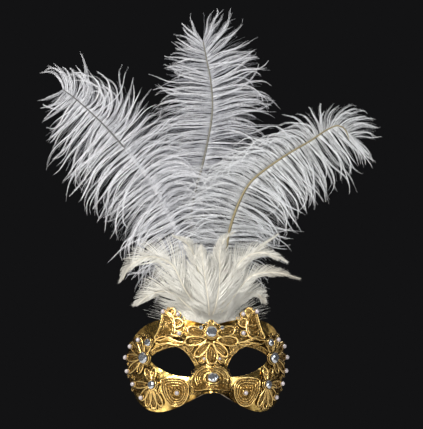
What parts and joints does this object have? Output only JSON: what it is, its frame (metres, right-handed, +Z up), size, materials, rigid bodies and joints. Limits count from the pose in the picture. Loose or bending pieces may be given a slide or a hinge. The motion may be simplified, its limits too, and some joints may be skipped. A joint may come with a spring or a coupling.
{
  "type": "feather eye mask",
  "caption": "Gilded half mask with raised lace scrollwork, set crystals and pearls, and a spray of curling ostrich plumes over a tuft of short feathers",
  "frame": {"origin": "on the inner face of the mask's wall at the bridge of the nose, in the middle of its width, where the mask sits on its wearer", "axes": "+Z up along the plumes, -Y out of the face towards whoever looks at the wearer, +X to the right of whoever looks at the mask from the front"},
  "size_m": [0.3344, 0.1042, 0.3992],
  "materials": {
    "gilded_papier": "gold leaf over papier-mache, lightly crinkled, satin",
    "gilded_lace": "stiffened lace and cord, gilded with brown left in the hollows",
    "crystal": "clear faceted glass with a silvered back",
    "pearl": "pearl lustre",
    "ostrich": "soft white barbs on a tan shaft, matt",
    "hackle": "cream vaned feather, soft sheen"
  },
  "bodies": {
    "root": {"brow_bead_left": "crystal", "brow_bead_right": "crystal", "brow_crest_left": "gilded_lace", "brow_crest_right": "gilded_lace", "brow_crystal": "crystal", "brow_flower": "gilded_lace", "brow_pearl_left": "pearl", "brow_pearl_right": "pearl", "cheek_crystal_left": "crystal", "cheek_crystal_right": "crystal", "cheek_drop_left": "gilded_lace", "cheek_drop_right": "gilded_lace", "cheek_fan_left": "gilded_lace", "cheek_fan_right": "gilded_lace", "cheek_pearl_1_left": "pearl", "cheek_pearl_1_right": "pearl", "cheek_pearl_2_left": "pearl", "cheek_pearl_2_right": "pearl", "crest_inner_pearl_left": "pearl", "crest_inner_pearl_right": "pearl", "crest_lower_pearl_left": "pearl", "crest_lower_pearl_right": "pearl", "crest_outer_pearl_left": "pearl", "crest_outer_pearl_right": "pearl", "drop_pearl_left": "pearl", "drop_pearl_right": "pearl", "lid_cord_left": "gilded_lace", "lid_cord_right": "gilded_lace", "lid_crystal_left": "crystal", "lid_crystal_right": "crystal", "mask_shell": "gilded_papier", "nose_crystal": "crystal", "nose_shield": "gilded_lace", "plume_centre": "ostrich", "plume_left": "ostrich", "plume_right": "ostrich", "temple_crystal_left": "crystal", "temple_crystal_right": "crystal", "temple_flower_left": "gilded_lace", "temple_flower_right": "gilded_lace", "temple_pearl_1_left": "pearl", "temple_pearl_1_right": "pearl", "temple_pearl_2_left": "pearl", "temple_pearl_2_right": "pearl", "temple_pearl_3_left": "pearl", "temple_pearl_3_right": "pearl", "temple_pearl_4_left": "pearl", "temple_pearl_4_right": "pearl", "tuft_centre_left": "hackle", "tuft_centre_right": "hackle", "tuft_left_fluff": "hackle", "tuft_left_low": "hackle", "tuft_left_mid": "hackle", "tuft_right_fluff": "hackle", "tuft_right_high": "hackle", "tuft_right_low": "hackle", "tuft_right_mid": "hackle", "tuft_right_tip": "hackle"}
  },
  "joints": []
}
